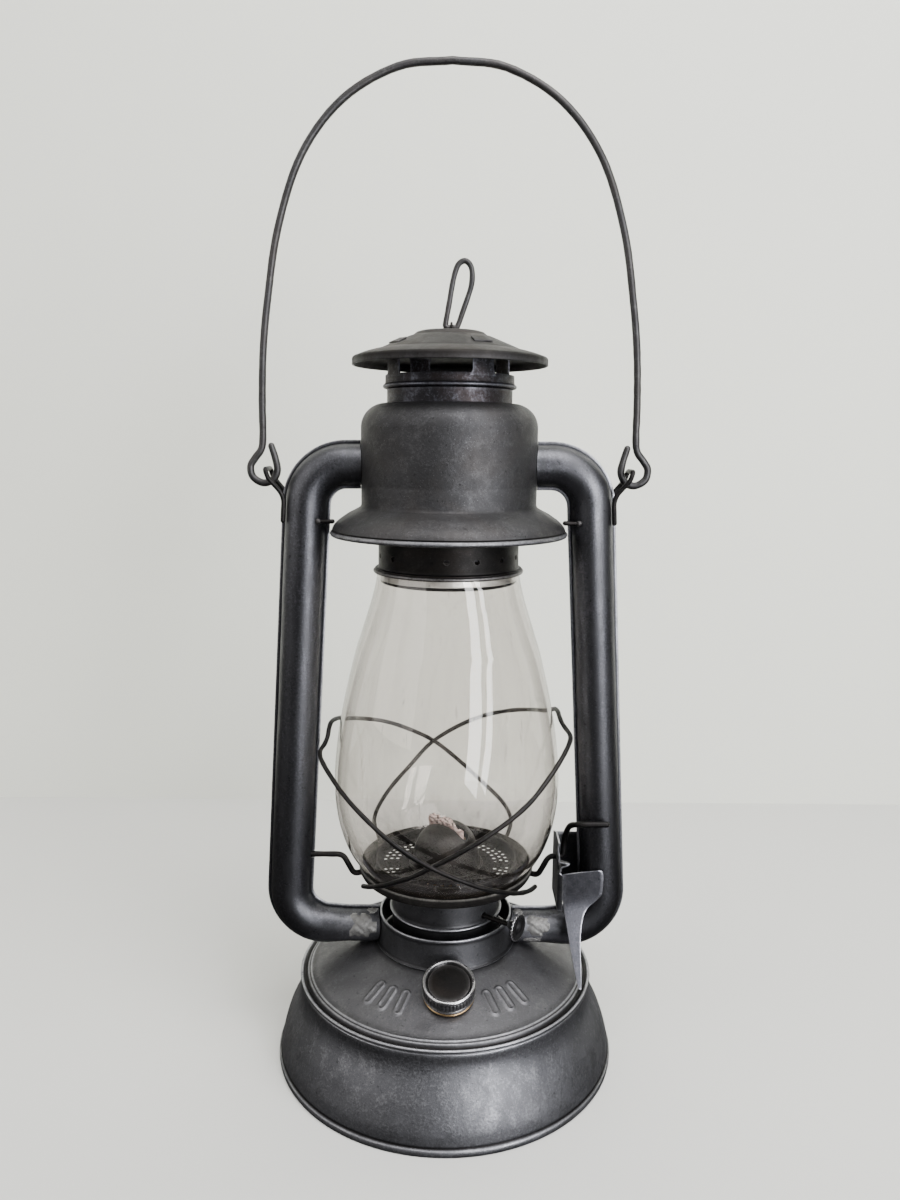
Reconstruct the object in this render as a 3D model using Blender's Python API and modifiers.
"""Cold-blast barn lantern: fount, side tubes, canopy, sprung chimney, globe carriage with
lift crank, burner, filler cap and bail. Metres, +Z up, origin at the centre of the foot.
The side tubes lie along X (left is -X) and the filler cap towards -Y, the front.

All sizes below are millimetres. Every *_PROFILE is a table of (radius, height) points taken
in order round the section; open ones start and end on the turning axis."""

import math

import bmesh
import bpy
from mathutils import Matrix, Vector

MM = 0.001
GAP = 0.3            # clearance kept between neighbouring pieces
STEPS = 24           # facets round a turned piece
X_AXIS = (1, 0, 0)
SIDES = (("left", -1), ("right", 1))

# Shared by several sections
TUBE_TOP_Z = 308.4
CANOPY_R = 43.0
CONE_OUT = (71.9, 46.1)      # (radius, height) at the fount cone's outer edge
CONE_IN = (36.0, 59.8)       # and at its inner edge
LIFT_AXIS_Z = 105.4


# ---------------------------------------------------------------- scene and materials
for old in list(bpy.data.objects):
    bpy.data.objects.remove(old, do_unlink=True)

scene = bpy.context.scene
PARTS = bpy.data.collections.new("barn_lantern")
CUTS = bpy.data.collections.new("cutters")
scene.collection.children.link(PARTS)
scene.collection.children.link(CUTS)


def material(name, colour, roughness, metallic, alpha=1.0):
    mat = bpy.data.materials.new(name)
    mat.use_nodes = True
    inputs = mat.node_tree.nodes["Principled BSDF"].inputs
    inputs["Base Color"].default_value = (*colour, 1.0)
    inputs["Roughness"].default_value = roughness
    inputs["Metallic"].default_value = metallic
    inputs["Alpha"].default_value = alpha
    mat.diffuse_color = (*colour, alpha)
    return mat


STEEL = material("aged_steel", colour=(0.060, 0.060, 0.066), roughness=0.48, metallic=0.85)
DARK = material("dark_steel", colour=(0.030, 0.028, 0.028), roughness=0.55, metallic=0.80)
WIRE = material("wire_steel", colour=(0.035, 0.030, 0.028), roughness=0.50, metallic=0.80)
BRASS = material("brass", colour=(0.42, 0.27, 0.12), roughness=0.35, metallic=1.0)
GLASS = material("glass", colour=(0.93, 0.95, 0.93), roughness=0.03, metallic=0.0, alpha=0.15)
COTTON = material("wick_cotton", colour=(0.55, 0.42, 0.38), roughness=0.95, metallic=0.0)
RUBBER = material("gasket_rubber", colour=(0.02, 0.02, 0.02), roughness=0.85, metallic=0.0)


# ---------------------------------------------------------------- placing
def at(x, y, z):
    return Matrix.Translation((x * MM, y * MM, z * MM))


def aim(x, y, z, direction):
    """Local +Z turned to a direction, at a point."""
    turn = Vector(direction).normalized().to_track_quat("Z", "Y")
    return at(x, y, z) @ turn.to_matrix().to_4x4()


# ---------------------------------------------------------------- piece builders
def add_piece(name, shape, mat, smooth=False):
    """Turn a bmesh into a linked object and free the bmesh."""
    mesh = bpy.data.meshes.new(name)
    shape.to_mesh(mesh)
    shape.free()
    mesh.materials.append(mat)
    if smooth:
        mesh.shade_smooth()
    obj = bpy.data.objects.new(name, mesh)
    PARTS.objects.link(obj)
    return obj


def turned(name, profile, mat, closed=True, steps=STEPS, matrix=Matrix()):
    """A profile turned round local Z by a screw modifier."""
    shape = bmesh.new()
    verts = [shape.verts.new((radius * MM, 0.0, z * MM)) for radius, z in profile]
    for start, end in zip(verts, verts[1:]):
        shape.edges.new((start, end))
    if closed:
        shape.edges.new((verts[-1], verts[0]))
    obj = add_piece(name, shape, mat)
    screw = obj.modifiers.new("turn", "SCREW")
    screw.axis = "Z"
    screw.angle = math.tau
    screw.steps = steps
    screw.render_steps = steps
    screw.use_merge_vertices = True
    screw.merge_threshold = 0.00001
    screw.use_smooth_shade = True
    obj.matrix_world = matrix
    return obj


def shape_from_curve(curve, points, cyclic, matrix=Matrix()):
    """Run one polyline through a curve's settings; return the welded result as a bmesh."""
    spline = curve.splines.new("POLY")
    spline.points.add(len(points) - 1)
    for spline_point, (x, y, z) in zip(spline.points, points):
        spline_point.co = (x * MM, y * MM, z * MM, 1.0)
    spline.use_cyclic_u = cyclic
    carrier = bpy.data.objects.new(curve.name, curve)
    scene.collection.objects.link(carrier)
    bpy.context.view_layer.update()
    depsgraph = bpy.context.evaluated_depsgraph_get()
    mesh = bpy.data.meshes.new_from_object(carrier.evaluated_get(depsgraph))
    bpy.data.objects.remove(carrier, do_unlink=True)
    shape = bmesh.new()
    shape.from_mesh(mesh)
    bpy.data.meshes.remove(mesh)
    bmesh.ops.remove_doubles(shape, verts=shape.verts, dist=0.000002)
    bmesh.ops.transform(shape, matrix=matrix, verts=shape.verts)
    bmesh.ops.recalc_face_normals(shape, faces=shape.faces)
    return shape


def wire(name, points, radius, bevel_resolution=1):
    """A round wire with capped ends through the points."""
    curve = bpy.data.curves.new(name + "_curve", "CURVE")
    curve.dimensions = "3D"
    curve.bevel_depth = radius * MM
    curve.bevel_resolution = bevel_resolution
    curve.use_fill_caps = True
    return add_piece(name, shape_from_curve(curve, points, cyclic=False), WIRE, smooth=True)


def plate(name, outline, thickness, matrix):
    """A flat steel plate outlined in its own XY plane, placed by matrix."""
    curve = bpy.data.curves.new(name + "_curve", "CURVE")
    curve.dimensions = "2D"
    curve.fill_mode = "BOTH"
    curve.extrude = thickness * 0.5 * MM
    points = [(x, y, 0.0) for x, y in outline]
    return add_piece(name, shape_from_curve(curve, points, cyclic=True, matrix=matrix), STEEL)


def cylinder(name, radius, depth, mat, matrix, sides):
    shape = bmesh.new()
    bmesh.ops.create_cone(shape, cap_ends=True, segments=sides, radius1=radius * MM,
                          radius2=radius * MM, depth=depth * MM)
    bmesh.ops.transform(shape, matrix=matrix, verts=shape.verts)
    return add_piece(name, shape, mat, smooth=True)


def block(name, low, high, mat, azimuth):
    """A box between two corners, then turned round Z by azimuth (radians)."""
    shape = bmesh.new()
    bmesh.ops.create_cube(shape, size=1.0)
    for vert in shape.verts:
        for k in range(3):
            vert.co[k] = (low[k] + (vert.co[k] + 0.5) * (high[k] - low[k])) * MM
    bmesh.ops.transform(shape, matrix=Matrix.Rotation(azimuth, 4, "Z"), verts=shape.verts)
    return add_piece(name, shape, mat)


def boolean(obj, operand, operation="DIFFERENCE"):
    """Combine obj with operand, which becomes a hidden helper on first use."""
    modifier = obj.modifiers.new(operation.lower(), "BOOLEAN")
    modifier.operation = operation
    modifier.object = operand
    modifier.solver = "EXACT"
    if operand.name in PARTS.objects:
        operand.hide_render = True
        operand.display_type = "WIRE"
        PARTS.objects.unlink(operand)
        CUTS.objects.link(operand)


def bore(obj, name, radius, depth, matrix, sides):
    boolean(obj, cylinder(name, radius, depth, DARK, matrix, sides))


# ---------------------------------------------------------------- paths
def arc(x_centre, z_centre, radius, start, end, segments):
    """segments + 1 points on an arc between two angles in degrees."""
    angles = [math.radians(start + (end - start) * i / segments) for i in range(segments + 1)]
    return [(x_centre + radius * math.cos(angle), z_centre + radius * math.sin(angle))
            for angle in angles]


def smooth_path(points, per_span):
    """Catmull-Rom curve through the points."""
    knots = [Vector(point) for point in points]
    knots = [knots[0] * 2 - knots[1]] + knots + [knots[-1] * 2 - knots[-2]]
    path = []
    for before, start, end, after in zip(knots, knots[1:], knots[2:], knots[3:]):
        for k in range(per_span):
            t = k / per_span
            path.append(0.5 * ((2 * start) + (end - before) * t
                               + (2 * before - 5 * start + 4 * end - after) * t * t
                               + (3 * start - before - 3 * end + after) * t ** 3))
    path.append(knots[-2])
    return [tuple(point) for point in path]


def round_corners(points, radius, segments=2):
    """A path with each inner corner replaced by a quadratic bend."""
    corners = [Vector(point) for point in points]
    path = [corners[0]]
    for before, corner, after in zip(corners, corners[1:], corners[2:]):
        back, ahead = before - corner, after - corner
        reach = min(radius, back.length * 0.49, ahead.length * 0.49)
        start = corner + back.normalized() * reach
        end = corner + ahead.normalized() * reach
        for k in range(segments + 1):
            t = k / segments
            path.append(start * (1 - t) ** 2 + corner * 2 * t * (1 - t) + end * t * t)
    path.append(corners[-1])
    return [tuple(point) for point in path]


# ---------------------------------------------------------------- fount
FOOT_R = 88.3
SHOULDER_R = 76.4
SHOULDER_Z = 43.0
SKIRT_PROFILE = [
    (75.7, SHOULDER_Z), (SHOULDER_R, SHOULDER_Z), (76.5, 34.6), (78.8, 30.0), (81.0, 25.2),
    (82.0, 24.6), (85.2, 15.0), (87.3, 8.0), (87.7, 3.4), (FOOT_R, 2.0), (87.9, 0.0),
    (85.7, 0.0), (85.5, 1.8), (86.9, 3.6), (86.5, 8.2), (84.4, 15.0), (81.4, 24.0),
    (78.0, 30.0), (75.8, 34.8)]
BOTTOM_PROFILE = [
    (0.0, 6.9), (55.7, 6.9), (59.7, 4.9), (85.3, 4.9), (85.3, 8.4), (86.0, 8.4),
    (86.0, 4.2), (60.0, 4.2), (56.0, 6.2), (0.0, 6.2)]
TOP_PROFILE = [
    (14.3, 60.6), (33.0, 60.6), (35.0, 60.15), CONE_IN, CONE_OUT, (73.0, 45.0), (74.0, 44.5),
    (75.0, 45.0), (76.0, 45.0), (76.6, 44.2), (76.5, 43.3), (73.6, 43.3), (72.6, 44.0),
    (71.6, 45.3), (35.8, 59.0), (33.0, 59.8), (14.3, 59.8)]
AIR_CHAMBER_PROFILE = [
    (33.2, 75.2), (33.8, 75.9), (34.6, 75.6), (34.8, 74.6), (36.1, 60.7), (35.3, 60.7),
    (34.1, 73.8)]


def cone_z(radius):
    """Height of the fount's cone at a radius."""
    slope = (CONE_OUT[1] - CONE_IN[1]) / (CONE_OUT[0] - CONE_IN[0])
    return CONE_IN[1] + slope * (radius - CONE_IN[0])


turned("fount_skirt", SKIRT_PROFILE, STEEL)
turned("fount_bottom", BOTTOM_PROFILE, DARK, closed=False)
fount_top = turned("fount_top", TOP_PROFILE, STEEL)
air_chamber = turned("air_chamber", AIR_CHAMBER_PROFILE, STEEL)
bore(air_chamber, "collar_air_holes", 5.6, 90.0, aim(0, 0, 67.4, X_AXIS), sides=16)

# ---------------------------------------------------------------- filler
# The filler leans forward; its profiles are turned round the tilted axis, heights from the cone.
FILLER_X = 2.0
FILLER_R = 48.0
FILLER_TILT = math.radians(21.0)
FILLER_NECK_PROFILE = [
    (9.5, 6.4), (10.8, 6.4), (11.1, 5.8), (10.9, 2.2), (12.6, 1.4), (12.6, 0.75), (9.5, 0.75)]
GASKET_PROFILE = [(8.6, 8.0), (11.6, 8.0), (11.6, 6.7), (8.6, 6.7)]
CAP_PROFILE = [
    (0.0, 9.1), (10.6, 9.1), (11.2, 10.0), (12.2, 10.2), (12.8, 9.5), (13.0, 3.2), (12.2, 3.2),
    (12.0, 8.5), (11.3, 8.4), (0.0, 8.3)]

on_filler = aim(FILLER_X, -FILLER_R, cone_z(FILLER_R),
                (0.0, -math.sin(FILLER_TILT), math.cos(FILLER_TILT)))
bore(fount_top, "filler_bore", 9.0, 12.0, on_filler, sides=20)
turned("filler_neck", FILLER_NECK_PROFILE, BRASS, steps=28, matrix=on_filler)
turned("cap_gasket", GASKET_PROFILE, RUBBER, matrix=on_filler)
turned("filler_cap", CAP_PROFILE, STEEL, closed=False, steps=32, matrix=on_filler)

# ---------------------------------------------------------------- side tubes
TUBE_R = 10.3
TUBE_WALL = 0.65
SEAM = 1.6                   # reach of the seam flange beyond the tube
FLANGE_THICK = 0.7
TUBE_BEND = 20.0
BEND_STEPS = 5
HALF_ROUND_STEPS = 6
TUBE_LOW_Z = 66.8
# (x, z) corners of the right tube's centreline, from the fount up to the canopy
TUBE_CORNERS = [(32.0, TUBE_LOW_Z), (83.2, TUBE_LOW_Z), (69.0, TUBE_TOP_Z), (38.0, TUBE_TOP_Z)]
# Outsides of the canopy and fount with clearance, cut away from the tube ends
CANOPY_COPE_PROFILE = [(0, 345), (CANOPY_R + GAP, 345), (CANOPY_R + GAP, 285), (0, 285)]
FOUNT_COPE_PROFILE = [
    (0, 95), (34.6, 95), (35.0, 76.2), (36.5, 60.9), (36.6, cone_z(36.6) + 0.6),
    (72.4, cone_z(CONE_OUT[0]) + 0.6), (72.4, 20.0), (0, 20)]


def tube_line():
    """Right tube's rounded centreline as (point, outward normal) pairs in the XZ plane."""
    legs = [Vector(corner) for corner in TUBE_CORNERS]
    line = [(legs[0], Vector((0.0, -1.0)))]
    for before, corner, after in zip(legs, legs[1:], legs[2:]):
        back, ahead = (before - corner).normalized(), (after - corner).normalized()
        half = math.acos(back.dot(ahead)) / 2
        centre = corner + (back + ahead).normalized() * (TUBE_BEND / math.sin(half))
        reach = TUBE_BEND / math.tan(half)
        start = corner + back * reach - centre
        end = corner + ahead * reach - centre
        start_angle = math.atan2(start.y, start.x)
        end_angle = math.atan2(end.y, end.x)
        for k in range(BEND_STEPS + 1):
            angle = start_angle + (end_angle - start_angle) * k / BEND_STEPS
            normal = Vector((math.cos(angle), math.sin(angle)))
            line.append((centre + normal * TUBE_BEND, normal))
    line.append((legs[-1], Vector((0.0, 1.0))))
    return line


def half_round(radius, end_y):
    """Front half circle of (normal offset, y) points, stopping end_y short of the seam plane."""
    start = math.asin(end_y / radius)
    angles = [-start - (math.pi - 2 * start) * i / HALF_ROUND_STEPS
              for i in range(HALF_ROUND_STEPS + 1)]
    return [(radius * math.cos(angle), radius * math.sin(angle)) for angle in angles]


def half_section():
    """Front half shell: (normal offset, y) round its wall, with a flange on each side."""
    face = GAP / 2
    back = face + FLANGE_THICK
    tip = TUBE_R + SEAM
    inner = [(-offset, y) for offset, y in half_round(TUBE_R - TUBE_WALL, face)]
    return ([(tip, -face), (tip, -back)] + half_round(TUBE_R, back)
            + [(-tip, -back), (-tip, -face)] + inner)


canopy_cope = turned("canopy_cope", CANOPY_COPE_PROFILE, DARK, closed=False)
fount_cope = turned("fount_cope", FOUNT_COPE_PROFILE, DARK, closed=False)
rod_notch = cylinder("rod_notch", 1.95, 8.0, DARK, aim(-69.0, 0, LIFT_AXIS_Z, X_AXIS), sides=12)


def tube_half(name, x_sign, y_sign):
    """Loft of the half section along the centreline, mirrored to its side."""
    section = half_section()
    shape = bmesh.new()
    rings = []
    for point, normal in tube_line():
        rings.append([shape.verts.new(((point.x + normal.x * offset) * x_sign * MM,
                                       y * y_sign * MM, (point.y + normal.y * offset) * MM))
                      for offset, y in section])
    count = len(section)
    for ring, following in zip(rings, rings[1:]):
        for i in range(count):
            j = (i + 1) % count
            shape.faces.new((ring[i], ring[j], following[j], following[i]))
    shape.faces.new(rings[0])
    shape.faces.new(rings[-1])
    bmesh.ops.recalc_face_normals(shape, faces=shape.faces)
    obj = add_piece(name, shape, STEEL, smooth=True)
    boolean(obj, canopy_cope)
    boolean(obj, fount_cope)
    if x_sign < 0:
        boolean(obj, rod_notch)


for side, x_sign in SIDES:
    tube_half(f"{side}_tube_front", x_sign, 1)
    tube_half(f"{side}_tube_rear", x_sign, -1)

# ---------------------------------------------------------------- canopy
CANOPY_TOP_Z = 337.9
DOME_R = 11.8                # rounding of the canopy's top edge
DOME_CENTRE = (CANOPY_R - DOME_R, CANOPY_TOP_Z - DOME_R)
CANOPY_SHEET = 0.8
CANOPY_PROFILE = [(31.0, CANOPY_TOP_Z)] + arc(*DOME_CENTRE, DOME_R, 88, 0, 4) + [
    (CANOPY_R, 289.4), (44.2, 287.4), (49.3, 285.0), (54.8, 281.2), (57.7, 277.7),
    (58.4, 276.5), (58.5, 275.1), (57.8, 273.9), (56.3, 273.9), (55.5, 275.2), (55.8, 277.2),
    (53.9, 280.4), (48.9, 284.3), (43.6, 286.7), (CANOPY_R - CANOPY_SHEET, 289.2),
] + arc(*DOME_CENTRE, DOME_R - CANOPY_SHEET, 0, 88, 3) + [(31.0, 337.0)]

canopy = turned("canopy", CANOPY_PROFILE, STEEL)
bore(canopy, "canopy_air_holes", 8.4, 110.0, aim(0, 0, TUBE_TOP_Z, X_AXIS), sides=20)

# ---------------------------------------------------------------- stay wires and bail ears
# (x, y, z) on the right: the stay, and the rear half of the ear from its foot up
STAY_PATH = [(56.4, -8.5, 281.1), (60.0, -8.5, 281.0), (63.2, -8.5, 281.0)]
EAR_HALF = [(81.1, 5.5, 281.0), (80.3, 5.7, 293.2), (87.7, 7.1, 301.8), (89.0, 7.1, 306.0)]

for side, x_sign in SIDES:
    wire(f"{side}_stay_wire", [(x * x_sign, y, z) for x, y, z in STAY_PATH], 1.05)
    ear = [(x * x_sign, -y, z) for x, y, z in EAR_HALF]
    ear += [(x * x_sign, y, z) for x, y, z in reversed(EAR_HALF)]
    wire(f"{side}_bail_ear", round_corners(ear, 1.8), 1.2)

# ---------------------------------------------------------------- bail
BAIL_AXIS_Z = 302.7
# (x, z) of the right half, from the hook's end to the top of the bail
BAIL_HALF = [
    (86.9, 317.0), (85.1, 311.0), (84.2, 305.2), (86.3, 300.8), (91.2, 299.0), (96.2, 301.9),
    (97.8, 307.0), (95.0, 311.0), (91.8, 315.5), (90.9, 322.0), (90.8, 339.0), (89.8, 362.0),
    (87.2, 385.0), (81.5, 418.0), (69.9, 450.6), (50.6, 474.8), (25.0, 488.9), (0.0, 492.3)]

right_half = smooth_path([(x, 0.0, z) for x, z in BAIL_HALF], 2)
left_half = [(-x, y, z) for x, y, z in right_half[:-1]]
bail = wire("bail", left_half + right_half[::-1], 1.7)
bail.data.transform(at(0, 0, -BAIL_AXIS_Z))      # origin on the swing axis
bail.location = (0, 0, BAIL_AXIS_Z * MM)

# ---------------------------------------------------------------- lift bracket
BRACKET_X = 58.0
BRACKET_Y = 12.7             # front and rear cheeks stand this far from the axis
BRACKET_SHEET = 0.8
WEB_OUTLINE = [              # (y, z)
    (-13.1, 82.0), (13.1, 82.0), (13.1, 114.0), (2.0, 118.0), (-4.0, 118.0), (-7.0, 104.0),
    (-13.1, 101.0)]
FRONT_OUTLINE = [            # (x, z)
    (57.7, 82.0), (66.0, 77.6), (72.0, 77.6), (79.0, 84.0), (80.4, 88.0), (80.4, 101.0),
    (78.6, 103.0), (66.0, 101.6), (57.7, 100.8)]
REAR_OUTLINE = [             # (x, z)
    (57.7, 82.0), (70.0, 82.0), (80.0, 88.0), (80.0, 108.0), (76.0, 114.0), (57.7, 114.0)]
TAIL_TIP = Vector((68.4, -29.3, 46.9))
TAIL_TOP = Vector((68.6, -12.9, 80.6))


def facing_y(y):
    """Outline columns become world x and z."""
    return Matrix(((1, 0, 0, 0), (0, 0, -1, y * MM), (0, 1, 0, 0), (0, 0, 0, 1)))


def facing_x(x):
    """Outline columns become world y and z."""
    return Matrix(((0, 0, 1, x * MM), (1, 0, 0, 0), (0, 1, 0, 0), (0, 0, 0, 1)))


def bracket_tail():
    """Strip widening from its low front tip up to the bracket."""
    length = (TAIL_TOP - TAIL_TIP).length
    along = (TAIL_TOP - TAIL_TIP).normalized()
    across = (Vector(X_AXIS) - along * along.x).normalized()
    axes = Matrix((across, along, across.cross(along))).transposed().to_4x4()
    outline = [(-0.7, 0), (0.7, 0), (2.2, length * 0.6), (3.0, length), (-3.0, length),
               (-2.0, length * 0.6)]
    return plate("bracket_tail", outline, 1.2, at(*TAIL_TIP) @ axes)


bracket = plate("lift_bracket", WEB_OUTLINE, BRACKET_SHEET, facing_x(BRACKET_X))
for operand in (plate("bracket_front", FRONT_OUTLINE, BRACKET_SHEET, facing_y(-BRACKET_Y)),
                plate("bracket_rear", REAR_OUTLINE, BRACKET_SHEET, facing_y(BRACKET_Y)),
                bracket_tail()):
    boolean(bracket, operand, "UNION")
bore(bracket, "bracket_rod_hole", 2.0, 8.0, aim(BRACKET_X, 0, LIFT_AXIS_Z, X_AXIS), sides=12)

# ---------------------------------------------------------------- lift crank
# (x, y, z) from the left end, z from the lift axis
CRANK_PATH = [
    (-72.4, 0, 0), (-54.2, 0, 0), (-48.6, 0.6, -11.0), (-44.5, 2.5, -11.1),
    (-36.0, 12.2, -11.1), (36.0, 12.2, -11.1), (44.5, 2.5, -11.1), (48.6, 0.6, -11.0),
    (54.2, 0, 0), (61.6, 0, 0), (61.8, 0, 10.0), (63.6, -6.0, 19.5), (66.0, -13.4, 23.2),
    (81.5, -14.2, 23.6)]

crank = wire("lift_crank", round_corners(CRANK_PATH, 3.0), 1.5)
crank.location = (0, 0, LIFT_AXIS_Z * MM)

# ---------------------------------------------------------------- globe plate
PLATE_R = 45.4
PLATE_Z = 97.4
DECK_HOLES = 12
DECK_HOLE_RING_R = 27.3
DECK_HOLE_PHASE = 0.31       # first hole's azimuth, in hole pitches
PLATE_PROFILE = [
    (17.3, 101.2), (35.2, 101.2), (35.6, 104.6), (36.1, 105.4), (36.8, 105.5), (37.1, 105.0),
    (37.1, 98.1), (42.6, 98.1), (43.2, 98.5), (44.5, 100.4), (44.7, 103.0), (45.2, 103.2),
    (PLATE_R, 102.6), (45.2, 100.2), (43.7, 97.8), (42.9, PLATE_Z), (36.8, PLATE_Z),
    (36.4, 97.8), (36.0, 100.2), (35.6, 100.5), (17.3, 100.5)]

globe_plate = turned("globe_plate", PLATE_PROFILE, DARK)
for k in range(DECK_HOLES):
    angle = math.tau * (k + DECK_HOLE_PHASE) / DECK_HOLES
    spot = at(DECK_HOLE_RING_R * math.cos(angle), DECK_HOLE_RING_R * math.sin(angle), 100.9)
    bore(globe_plate, f"deck_hole_{k:02d}", 1.6, 6.0, spot, sides=7)

# ---------------------------------------------------------------- globe
GLASS_THICK = 1.7
GLOBE_PROFILE = [            # outside only, top to bottom
    (35.4, 257.0), (35.6, 254.0), (38.2, 242.0), (43.6, 225.0), (49.5, 203.0), (54.2, 181.0),
    (57.0, 163.0), (57.7, 150.0), (56.9, 136.0), (52.2, 117.0), (45.2, 105.0), (41.6, 100.7),
    (39.3, 98.4)]


def globe_inside():
    """Inside from bottom to top: the outside offset inwards, with set points at both rims."""
    points = [(37.6, 98.4), (38.4, 100.6)]
    for i in range(len(GLOBE_PROFILE) - 3, 1, -1):
        radius, z = GLOBE_PROFILE[i]
        tangent = (Vector(GLOBE_PROFILE[i + 1]) - Vector(GLOBE_PROFILE[i - 1])).normalized()
        points.append((radius + tangent.y * GLASS_THICK, z - tangent.x * GLASS_THICK))
    return points + [(33.9, 253.8), (33.7, 257.0)]


turned("globe", GLOBE_PROFILE + globe_inside(), GLASS)

# ---------------------------------------------------------------- guard wires
# (azimuth in degrees, radius, height) along each wire
GUARD_LEFT = [
    (46, 47.3, 96.4), (45, 50.2, 102.0), (46, 53.6, 108.6), (54, 57.4, 115.0),
    (70, 60.4, 125.0), (83, 61.6, 135.9), (97.5, 61.9, 148.1), (112, 61.4, 156.6),
    (126, 60.6, 163.2), (141, 60.4, 168.2), (158, 60.6, 173.0), (168, 60.2, 175.2),
    (175, 60.5, 175.5), (179, 60.8, 173.6), (182.5, 61.1, 170.6), (185.5, 62.4, 167.8),
    (188.5, 64.2, 166.1), (191.5, 65.0, 165.0), (195, 64.9, 163.6), (200, 63.9, 161.1),
    (207, 62.8, 158.0), (218, 61.5, 152.1), (229.7, 60.7, 145.8), (239.3, 60.3, 140.0),
    (252.1, 59.8, 132.3), (263.9, 59.5, 126.0), (275.9, 58.6, 120.1), (287.9, 56.9, 114.0),
    (295.8, 55.5, 110.3), (307.4, 53.7, 105.7), (316.4, 52.5, 102.9), (323.9, 51.8, 101.3),
    (329.9, 51.6, 100.9)]
GUARD_RIGHT = [
    (141, 47.3, 96.4), (141, 50.2, 102.0), (140, 54.0, 110.6), (127, 58.2, 121.2),
    (111.4, 59.3, 135.0), (97.8, 59.2, 148.8), (75, 59.2, 162.5), (52, 59.6, 171.0),
    (25, 60.2, 177.6), (14, 58.3, 181.4), (7, 57.8, 182.1), (1, 57.6, 181.2),
    (-4, 58.5, 179.3), (-8, 60.3, 177.7), (-12, 62.3, 176.7), (-15.5, 63.6, 175.4),
    (-20, 63.6, 173.2), (-26, 63.0, 169.8), (-32, 61.9, 165.2), (-38.6, 60.7, 160.0),
    (-45.9, 59.6, 154.0), (-56.9, 59.2, 147.8), (-66.5, 58.7, 142.6), (-77.3, 58.1, 136.4),
    (-91.1, 57.1, 128.4), (-106, 55.8, 119.2), (-115, 54.8, 114.6), (-122.4, 53.9, 110.7),
    (-131, 53.1, 107.2), (-138, 52.5, 104.8), (-140.9, 52.2, 103.9)]


def polar(azimuth, radius, z):
    angle = math.radians(azimuth)
    return (radius * math.cos(angle), radius * math.sin(angle), z)


for side, stations in (("left", GUARD_LEFT), ("right", GUARD_RIGHT)):
    wire(f"guard_wire_{side}", [polar(*point) for point in smooth_path(stations, 2)], 1.1)

# ---------------------------------------------------------------- burner
WICK_AZIMUTH = math.radians(-35.0)
ALONG = Vector((math.cos(WICK_AZIMUTH), math.sin(WICK_AZIMUTH), 0.0))  # wick width and shaft
ACROSS = Vector((-ALONG.y, ALONG.x, 0.0))
SHAFT_Z = 82.0
SHAFT_OFFSET = 5.2           # shaft axis from the wick's middle plane
WINDOW_HALF_Z = 4.6
CONE_PROFILE = [
    (13.2, 123.0), (14.0, 122.6), (16.2, 117.0), (17.0, 110.0), (17.4, 102.1), (19.6, 102.0),
    (19.6, 101.5), (16.8, 101.5), (16.3, 110.0), (15.5, 116.8), (13.2, 121.8)]
CUP_PROFILE = [
    (20.0, 92.6), (27.2, 92.6), (28.2, 91.8), (28.2, 79.0), (29.3, 78.2), (29.3, 77.2),
    (28.2, 76.6), (28.0, 66.0), (13.6, 64.0), (13.6, 52.0), (12.6, 52.0), (12.6, 64.9),
    (27.2, 66.8), (27.4, 91.4), (20.0, 91.8)]
KNOB_PROFILE = [             # heights along the shaft
    (0.0, 1.6), (5.6, 1.6), (6.9, 0.9), (6.9, -0.9), (5.6, -1.6), (3.0, -1.6), (2.4, -4.4),
    (1.7, -4.4), (1.7, 0.4), (0.0, 0.4)]


def shaft_at(distance):
    """Frame on the shaft's axis, local +Z along it towards the knob."""
    point = ALONG * distance - ACROSS * SHAFT_OFFSET
    return aim(point.x, point.y, SHAFT_Z, ALONG)


def wick_block(name, half_width, y_low, y_high, z_low, z_high, mat):
    """Box lined up with the wick; y runs across its thickness."""
    return block(name, (-half_width, y_low, z_low), (half_width, y_high, z_high), mat,
                 WICK_AZIMUTH)


turned("burner_cone", CONE_PROFILE, DARK, steps=28)
cup = turned("burner_cup", CUP_PROFILE, DARK)
bore(cup, "shaft_bore", 1.75, 40.0, shaft_at(28.0), sides=12)

wick_tube = wick_block("wick_tube", 11.9, -2.25, 2.25, 54.0, 118.5, BRASS)
boolean(wick_tube, wick_block("wick_bore", 11.35, -1.7, 1.7, 40.0, 130.0, DARK))
boolean(wick_tube, wick_block("spur_window", 8.0, -4.6, -0.6, SHAFT_Z - WINDOW_HALF_Z,
                              SHAFT_Z + WINDOW_HALF_Z, DARK))
wick_block("wick", 11.0, -1.35, 1.35, 20.0, 125.6, COTTON)

shaft = cylinder("wick_shaft", 1.3, 55.0, BRASS, shaft_at(18.0), sides=12)
for k, distance in enumerate((-5.0, 5.0)):
    boolean(shaft, cylinder(f"spur_{k}", 3.2, 1.6, BRASS, shaft_at(distance), sides=12), "UNION")
turned("wick_knob", KNOB_PROFILE, BRASS, closed=False, matrix=shaft_at(47.0))

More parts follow.
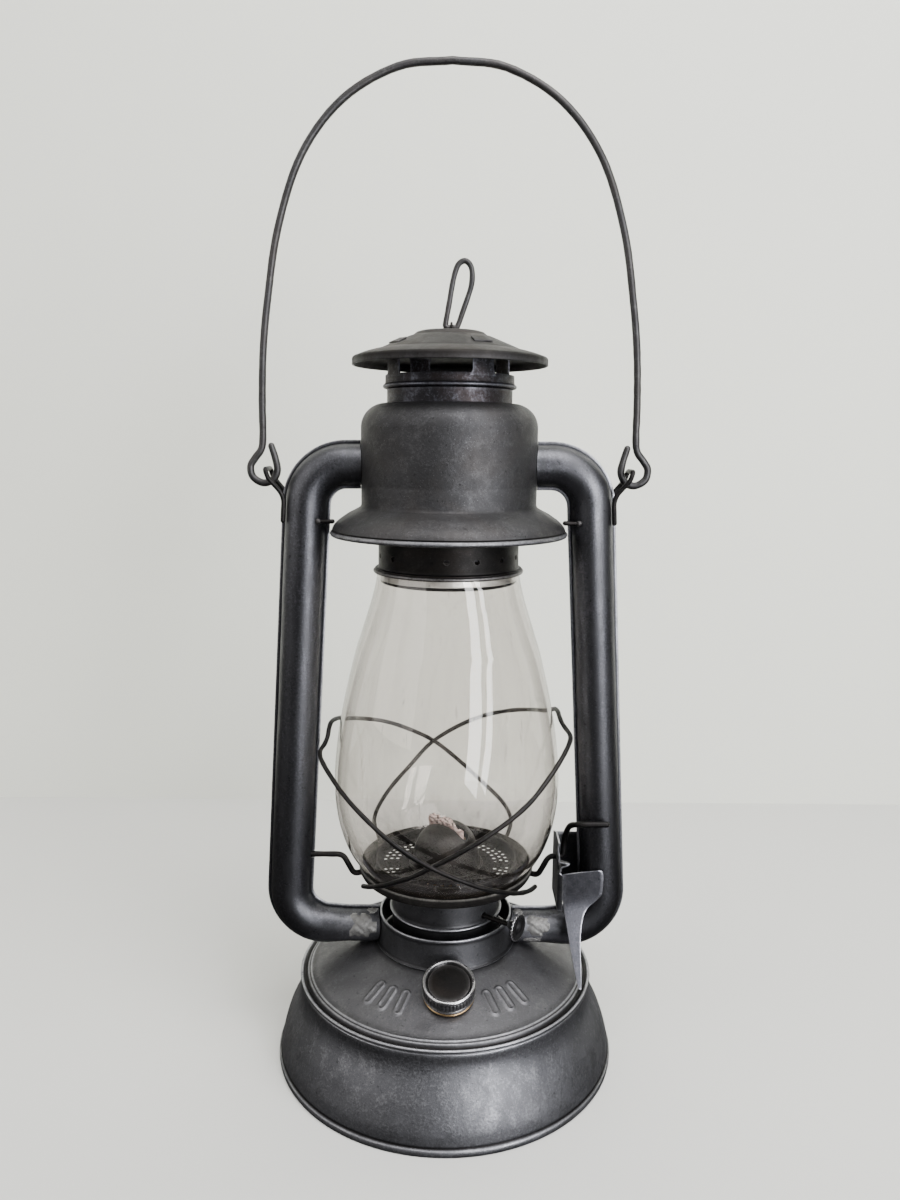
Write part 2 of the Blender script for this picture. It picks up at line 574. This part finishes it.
# ---------------------------------------------------------------- sprung chimney and crown
HOOD_TOP_Z = 372.0
GLOBE_CAP_PROFILE = [
    (34.1, 275.0), (34.7, 275.0), (34.8, 258.9), (36.4, 258.2), (37.2, 257.2), (37.2, 255.8),
    (36.6, 255.0), (35.9, 255.4), (36.1, 256.8), (34.9, 257.9), (33.5, 257.9), (33.4, 251.8),
    (32.8, 251.8), (32.8, 262.0), (34.1, 263.6)]
CHIMNEY_PROFILE = [
    (30.3, 344.2), (30.3, 281.2), (36.2, 280.8), (36.2, 279.9), (33.6, 279.0), (33.6, 264.3),
    (32.9, 264.3), (32.9, 277.4), (29.6, 280.2), (29.6, 344.2)]
CROWN_PROFILE = [
    (30.3, 351.0), (31.1, 351.0), (31.2, 347.6), (32.0, 347.2), (32.0, 345.2), (31.2, 344.6),
    (29.6, 344.6), (29.6, 345.3), (30.3, 345.9)]
HOOD_PROFILE = [
    (0.0, HOOD_TOP_Z), (17.0, HOOD_TOP_Z), (18.4, 370.0), (20.6, 369.2), (33.0, 363.6),
    (46.2, 359.6), (47.2, 358.9), (47.1, 357.4), (46.0, 357.2), (45.6, 358.4), (33.0, 362.6),
    (31.6, 362.0), (29.0, 362.2), (20.3, 368.4), (17.8, 369.2), (16.6, 371.2), (0.0, 371.2)]
SPRING_R = 34.2
SPRING_LOW_Z = 281.9
SPRING_TOP_Z = 334.4
SPRING_TURNS = 6
STEPS_PER_TURN = 12

turned("globe_cap", GLOBE_CAP_PROFILE, DARK)
turned("inner_chimney", CHIMNEY_PROFILE, DARK)
crown = turned("crown_frame", CROWN_PROFILE, STEEL)
for k in range(4):
    leg = block(f"crown_leg_{k}", (30.2, -5.6, 349.5), (31.0, 5.6, 361.4), STEEL,
                math.radians(-60 + 90 * k))
    boolean(crown, leg, "UNION")
turned("crown_hood", HOOD_PROFILE, STEEL, closed=False)

spring_steps = SPRING_TURNS * STEPS_PER_TURN
wire("chimney_spring", [
    polar(360 * k / STEPS_PER_TURN, SPRING_R,
          SPRING_LOW_Z + (SPRING_TOP_Z - SPRING_LOW_Z) * k / spring_steps)
    for k in range(spring_steps + 1)], 0.7, bevel_resolution=0)

# ---------------------------------------------------------------- lift ring
RING_WIRE_R = 1.2
RING_Z = HOOD_TOP_Z + GAP + RING_WIRE_R
STAPLE_X = 0.55
STAPLE_R = 2.15
# (x, z) round the ring, z from RING_Z
RING_PATH = [
    (0.0, 0.0), (-1.7, 0.0), (-1.2, 4.0), (1.4, 21.0), (3.2, 30.6), (6.2, 31.0), (8.2, 28.6),
    (7.6, 17.0), (3.2, 3.0), (2.8, 0.0), (1.1, 0.0)]

wire("ring_staple", [(STAPLE_X, y, z) for y, z in arc(0.0, RING_Z, STAPLE_R, 0, 180, 6)], 0.6)
ring = wire("lift_ring", round_corners([(x, 0, z) for x, z in RING_PATH], 1.6), RING_WIRE_R)
ring.location = (0, 0, RING_Z * MM)
